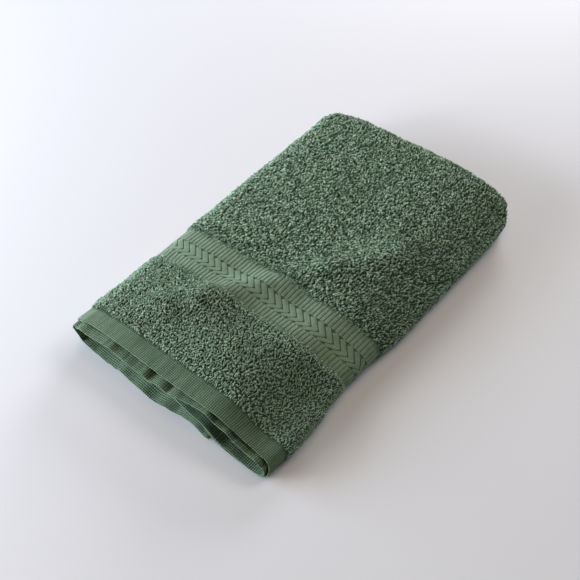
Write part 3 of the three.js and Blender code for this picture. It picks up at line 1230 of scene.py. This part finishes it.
class TerryPile(Maker):
    """The terry's loops: small arches of yarn in close rows, each turned, leaned and sized on its own."""

    name = "terry pile"
    sizes = {
        "Patch Width": 100.0,
        "Patch Length": 100.0,
        "Row Pitch": 1.74,
        "Loop Pitch": 1.63,
        "Jitter": 0.7,
        "Loop Length": 2.4,
        "Loop Height": 2.2,
        "Root Depth": 0.5,
        "Strand Radius": 0.5,
        "Lean": 0.5,
        "Turn Low": 0.85,
        "Turn High": 2.05,
        "Size Spread": 0.22,
        "Tone Spread": 0.52,
        "Tone Middle": 0.53,
        "Tuft Size": 4.0,
        "Tuft Lean": 1.0,
        "Tuft Height": 0.7,
        "Seed": 1,
    }

    def loop(self) -> Field:
        """One loop: a three-sided strand along a short arch.

        Returns:
            Its mesh, which keeps how high each point is.
        """
        half, height = self.given("Loop Length") * 0.5, self.given("Loop Height")
        depth = self.given("Root Depth")
        ends = (self.vector(half * -1.0, 0.0, depth * -1.0), self.vector(half, 0.0, depth * -1.0))
        middle = self.vector(0.0, half * 0.7, height * 2.0 + depth)
        return self.lifted(self.strand(ends, middle, self.given("Strand Radius"), (2, 3)), height)

    def cloud(self, number: int) -> Field:
        """Soft noise over the patch, by which neighbouring loops go together.

        Args:
            number: Which of the independent noises is wanted.

        Returns:
            The noise, about -0.5 to 0.5.
        """
        place = self.tree.node("GeometryNodeInputPosition")
        scale = 1.0 / self.given("Tuft Size")
        inputs = {"Vector": place, "W": self.given("Seed") + 7.3 * number, "Scale": scale, "Detail": 0.0}
        return self.tree.node("ShaderNodeTexNoise", {"noise_dimensions": "4D"}, inputs) - 0.5

    def grow(self) -> Field:
        """Sets loops on a jittered grid.

        Returns:
            The instances.
        """
        grid = self.tree.node("GeometryNodeMeshGrid", {}, {
            "Size X": self.given("Patch Width"),
            "Size Y": self.given("Patch Length"),
            "Vertices X": self.given("Patch Width") / self.given("Row Pitch") + 1.0,
            "Vertices Y": self.given("Patch Length") / self.given("Loop Pitch") + 1.0,
        })
        jitter = self.given("Jitter")
        shift = self.vector(self.random(jitter * -1.0, jitter, 1), self.random(jitter * -1.0, jitter, 2), 0.0)
        grid = self.tree.node("GeometryNodeSetPosition", {}, {0: grid, "Offset": shift})
        lean, tuft = self.given("Lean"), self.given("Tuft Lean")
        turned = self.vector(
            self.random(lean * -1.0, lean, 3) + self.cloud(0) * tuft,
            self.random(lean * -0.6, lean * 0.6, 4) + self.cloud(1) * tuft,
            self.random(self.given("Turn Low"), self.given("Turn High"), 5),
        )
        spread = self.given("Size Spread")
        sizes = [self.random(1.0 - spread, 1.0 + spread, seed) for seed in (6, 7)]
        sizes[1] = sizes[1] + self.cloud(2) * self.given("Tuft Height")
        turned = self.tree.node("FunctionNodeEulerToRotation", {}, {0: turned})
        loops = self.placed(grid, self.loop(), Rotation=turned, Scale=self.vector(sizes[0], sizes[0], sizes[1]))
        middle, tone = self.given("Tone Middle"), self.given("Tone Spread") * 0.5
        return self.stored(loops, "tone", self.random(middle - tone, middle + tone, 8), "INSTANCE")

    def patch(
        self,
        name: str,
        flat: tuple[float, float],
        along: tuple[float, float],
        **sizes: float,
    ) -> bpy.types.Object:
        """Loops over one stretch of the outer layer.

        Args:
            name: The piece's name.
            flat: The stretch across the flat cloth.
            along: The stretch along it.
            sizes: The tree's inputs that differ, with underscores for spaces.

        Returns:
            The piece.
        """
        sizes |= {"patch_width": flat[1] - flat[0], "patch_length": along[1] - along[0]}
        return self.folded(name, self.made(name, sizes), sum(flat) / 2, sum(along) / 2)


class BorderRibs(Maker):
    """The woven border's raised ribs: straight ones at both sides and wider slanted ones that meet in points."""

    name = "border ribs"
    sizes = {
        "Repeats": 1,
        "Pitch": 8.2,
        "Step": 1.9,
        "Rib Width": 4.0,
        "Rib Height": 0.68,
        "Edge Radius": 0.67,
        "Seed": 1,
    }

    def grow(self) -> Field:
        """Makes flat ribs along the base's lines and repeats them along the border.

        Returns:
            The instances.
        """
        line = self.tree.node("GeometryNodeMeshToCurve", {}, {0: self.given("Geometry")})
        steps = {0: line, "Length": self.given("Step")}
        line = self.tree.node("GeometryNodeResampleCurve", {"mode": "LENGTH"}, steps)
        flat_rib = self.tree.node("GeometryNodeCurvePrimitiveQuadrilateral", {}, {
            "Width": self.given("Rib Width"),
            "Height": self.given("Rib Height") * 2.0,
        })
        flat_rib = self.tree.node("GeometryNodeFilletCurve", {"mode": "POLY"}, {
            "Curve": flat_rib,
            "Count": 3,
            "Radius": self.given("Edge Radius"),
        })
        rib = self.lifted(self.tube(line, flat_rib), self.given("Rib Height"))
        return self.placed(self.row("Repeats", "Pitch"), rib)

    def ribs(
        self,
        name: str,
        line: list[tuple[float, float]],
        reach: tuple[float, float],
        **sizes: float,
    ) -> bpy.types.Object:
        """One kind of rib, all along the border.

        Args:
            name: The piece's name.
            line: The rib's line over the flat cloth, as places across and along.
            reach: Where the row of ribs starts and ends across the flat cloth.
            sizes: The tree's inputs that differ, with underscores for spaces.

        Returns:
            The piece.
        """
        pitch = sizes.get("pitch", self.sizes["Pitch"])
        base = bpy.data.meshes.new(name)
        edges = [(i, i + 1) for i in range(len(line) - 1)]
        base.from_pydata([(x, y, 0.0) for x, y in line], edges, [])
        mesh = self.made(name, sizes | {"repeats": int((reach[1] - reach[0]) / pitch)}, base)
        return self.folded(name, mesh, reach[0], 0.0)


class HemSeam(Maker):
    """The line of lock stitches that holds the hem down."""

    name = "hem seam"
    sizes = {
        "Stitches": 10,
        "Stitch Pitch": 2.9,
        "Stitch Length": 2.3,
        "Thread Radius": 0.24,
        "Root Depth": 0.2,
        "Arch Height": 0.55,
        "Crown": 0.8,
        "Turn": 0.06,
        "Seed": 1,
    }

    def grow(self) -> Field:
        """Sets stitches in a row.

        Returns:
            The instances.
        """
        half, turn = self.given("Stitch Length") * 0.5, self.given("Turn")
        depth = self.given("Root Depth") * -1.0
        ends = (self.vector(half * -1.0, 0.0, depth), self.vector(half, 0.0, depth))
        middle = self.vector(0.0, 0.0, self.given("Arch Height"))
        stitch = self.strand(ends, middle, self.given("Thread Radius"), (4, 5))
        stitch = self.stored(stitch, "lift", self.given("Crown"))
        turned = self.vector(0.0, 0.0, self.random(turn * -1.0, turn, 1))
        turned = self.tree.node("FunctionNodeEulerToRotation", {}, {0: turned})
        return self.placed(self.row("Stitches", "Stitch Pitch"), stitch, Rotation=turned)

    def line(self, name: str, reach: tuple[float, float], along: float) -> bpy.types.Object:
        """One line of stitches.

        Args:
            name: The piece's name.
            reach: Where it starts and ends across the flat cloth.
            along: How far it lies from the hem's edge.

        Returns:
            The piece.
        """
        count = int((reach[1] - reach[0]) / self.sizes["Stitch Pitch"])
        return self.folded(name, self.made(name, {"Stitches": count}), reach[0], along)


@dataclass
class Towel:
    """The towel: its cloth with everything that stands on it."""

    fold: Fold
    left_end: float = 0.93
    right_end: float = 4.12
    far_strips: int = 3
    strip_gap: float = 0.8
    bend_share: float = 0.72
    seam_along: float = 16.6
    slant_start: float = 12.6
    slant_point: float = 18.6
    slant_end: float = 28.4
    slant_reach: float = 10.0
    far_look: ClassVar[dict[str, float]] = {
        "turn_low": 0.9,
        "turn_high": 1.68,
        "loop_length": 2.5,
        "size_spread": 0.34,
        "tuft_lean": 1.6,
        "tuft_size": 3.4,
        "tone_spread": 1.2,
        "tone_middle": 0.58,
        "strand_radius": 0.46,
    }
    end_look: ClassVar[dict[str, float]] = {"row_pitch": 2.2, "loop_pitch": 1.8, "tone_middle": 0.42}
    under_look: ClassVar[dict[str, float]] = {"row_pitch": 4.0, "loop_pitch": 3.6, "loop_length": 4.6}

    def build(self) -> bpy.types.Object:
        """Returns:
            The cloth.
        """
        f = self.fold
        cloth = FoldedCloth(f, ClothFinish())
        sheet = cloth.build()
        reach = (float(f.flat(self.left_end)), float(f.flat(self.right_end)))
        pieces = [*self.pile(reach), *self.border(reach), self.seam(reach)]
        return sheet

    def pile(self, reach: tuple[float, float]) -> list[bpy.types.Object]:
        """The loops on all terry that shows.

        Args:
            reach: Where the shown face starts and ends across the flat cloth.

        Returns:
            The pieces.
        """
        f = self.fold
        maker = TerryPile(f, YarnFinish().material())
        start, end = f.border
        bend = f.far_flat_end + f.outer * math.pi * self.bend_share
        near = (f.hem_width + 0.2, start + 0.3)
        stops = np.linspace(end - 0.3, f.far_flat_end, self.far_strips + 1)
        whole, under = (0.0, float(f.flat(5.0))), (1.0, reach[0] - self.strip_gap)
        made = [maker.patch("near_pile", reach, near, seed=1)]
        for strip in range(self.far_strips):
            low, high = float(stops[strip]), float(stops[strip + 1])
            along = (low + self.strip_gap * (strip > 0), high - self.strip_gap)
            made.append(maker.patch(f"far_pile_{strip + 1}", reach, along, seed=10 + strip, **self.far_look))
        return [
            *made,
            maker.patch("end_pile", whole, (f.far_flat_end, bend), seed=20, **self.end_look),
            maker.patch("under_near_pile", under, near, seed=30, **self.under_look),
            maker.patch("under_far_pile", under, (end + 0.2, f.far_flat_end), seed=31, **self.under_look),
        ]

    def border(self, reach: tuple[float, float]) -> list[bpy.types.Object]:
        """The border's ribs, from its near side to its far side.

        Args:
            reach: Where the shown face starts and ends across the flat cloth.

        Returns:
            The pieces.
        """
        maker = BorderRibs(self.fold, RibFinish().material())
        start, end = self.fold.border
        low, point, high = start + self.slant_start, start + self.slant_point, start + self.slant_end
        slant, pitch = self.slant_reach, maker.sizes["Pitch"]
        return [
            maker.ribs("near_ribs", [(0, start - 1.5), (0, low)], reach, pitch=pitch / 2),
            maker.ribs("near_slants", [(0, low + 0.6), (slant + 1.2, point + 0.7)], reach),
            maker.ribs("far_slants", [(slant + 0.9, point - 0.9), (0, high - 0.3)], reach, rib_width=5.4),
            maker.ribs("far_ribs", [(0, high + 0.5), (0, end + 1.5)], reach, pitch=pitch / 2),
        ]

    def seam(self, reach: tuple[float, float]) -> bpy.types.Object:
        """The hem's stitches."""
        return HemSeam(self.fold, RibFinish().material()).line("hem_seam", reach, self.seam_along)


@dataclass(frozen=True)
class Lamp:
    """A soft lamp, by its direction from the towel in degrees, its distance and its size in metres."""

    name: str
    azimuth: float
    elevation: float
    distance: float
    size: tuple[float, float]
    power: float
    colour: tuple[float, float, float]

    def build(self, target: Vector) -> bpy.types.Object:
        """Makes the lamp.

        Args:
            target: What it is turned to.

        Returns:
            The lamp.
        """
        data = bpy.data.lights.new(self.name, "AREA")
        data.shape, data.size, data.size_y = "RECTANGLE", *self.size
        data.energy, data.color = self.power, self.colour
        azimuth, elevation = math.radians(self.azimuth), math.radians(self.elevation)
        level = math.cos(elevation)
        away = Vector((level * math.sin(azimuth), level * math.cos(azimuth), math.sin(elevation)))
        lamp = bpy.data.objects.new(self.name, data)
        lamp.location = target + self.distance * away
        lamp.rotation_euler = (-away).to_track_quat("-Z", "Y").to_euler()
        lamp.visible_camera = False
        bpy.context.scene.collection.objects.link(lamp)
        return lamp


@dataclass(frozen=True)
class Studio:
    """The floor, the light and the camera."""

    floor_size: float = 8.0
    floor_drop: float = 0.0004
    yaw: float = -42.975
    pitch: float = 48.131
    roll: float = -3.749
    focal_pixels: float = 1005.7
    picture_pixels: float = 580.0
    sensor: float = 36.0
    camera_place: tuple[float, float, float] = (0.4234, -0.4782, 0.6978)
    sky: Colour = (0.84, 0.90, 1.0, 1)
    sky_strength: float = 0.05
    aim: tuple[float, float, float] = (0.0, 0.0, 0.02)
    lamps: tuple[Lamp, ...] = (
        Lamp("left key", -124.0, 12.0, 1.4, (1.2, 0.4), 28.0, (0.88, 1.0, 1.2)),
        Lamp("front fill", -150.0, 14.0, 1.6, (0.8, 0.6), 14.6, (1.07, 1.0, 0.9)),
        Lamp("back key", -20.0, 14.0, 1.6, (0.8, 0.6), 21.9, (0.98, 1.0, 1.06)),
        Lamp("right fill", 30.0, 45.0, 2.0, (1.0, 0.8), 11.9, (1.04, 1.0, 0.98)),
        Lamp("top", 0.0, 88.0, 1.8, (0.9, 0.9), 3.9, (1.3, 1.0, 0.55)),
    )

    def floor(self) -> None:
        """A plain pale floor."""
        half = self.floor_size / 2
        corners = [(-half, -half), (half, -half), (half, half), (-half, half)]
        mesh = bpy.data.meshes.new("floor")
        mesh.from_pydata([(x, y, -self.floor_drop) for x, y in corners], [], [(0, 1, 2, 3)])
        mesh.materials.append(FloorFinish().material())
        mesh_object("floor", mesh)

    def light(self) -> None:
        """An even sky and the soft lamps."""
        world = bpy.data.worlds.new("sky")
        world.use_nodes = True
        sky = world.node_tree.nodes["Background"]
        sky.inputs["Color"].default_value = self.sky
        sky.inputs["Strength"].default_value = self.sky_strength
        bpy.context.scene.world = world
        bpy.context.scene.view_settings.view_transform = "Standard"
        for lamp in self.lamps:
            lamp.build(Vector(self.aim))

    def camera(self) -> None:
        """The camera, at the photograph's viewing angle."""
        yaw, pitch, roll = (math.radians(angle) for angle in (self.yaw, self.pitch, self.roll))
        ahead = Vector((math.sin(yaw) * math.cos(pitch), math.cos(yaw) * math.cos(pitch), -math.sin(pitch)))
        level = Vector((math.cos(yaw), -math.sin(yaw), 0.0))
        upright = level.cross(ahead)
        right = math.cos(roll) * level + math.sin(roll) * upright
        up = math.cos(roll) * upright - math.sin(roll) * level
        data = bpy.data.cameras.new("camera")
        data.sensor_width = self.sensor
        data.lens = self.sensor * self.focal_pixels / self.picture_pixels
        camera = bpy.data.objects.new("camera", data)
        turned = Matrix((right, up, -ahead)).transposed().to_4x4()
        camera.matrix_world = Matrix.Translation(self.camera_place) @ turned
        bpy.context.scene.collection.objects.link(camera)
        bpy.context.scene.camera = camera

    def build(self) -> None:
        """Makes all of it."""
        self.camera()
        self.floor()
        self.light()


def main() -> None:
    """Builds the studio and the towel."""
    logging.basicConfig(level=logging.INFO, format="%(name)s: %(message)s", stream=sys.stdout)
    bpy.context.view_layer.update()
    low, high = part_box("towel")
    Studio().build()
    fold = Fold(
        width=(high.x - low.x) / MM + min(Fold.drawn_in.value),
        length=(high.y - low.y) / MM - Fold.hem_reach,
        corner=low,
    )
    Towel(fold).build()


if __name__ == "__main__":
    main()
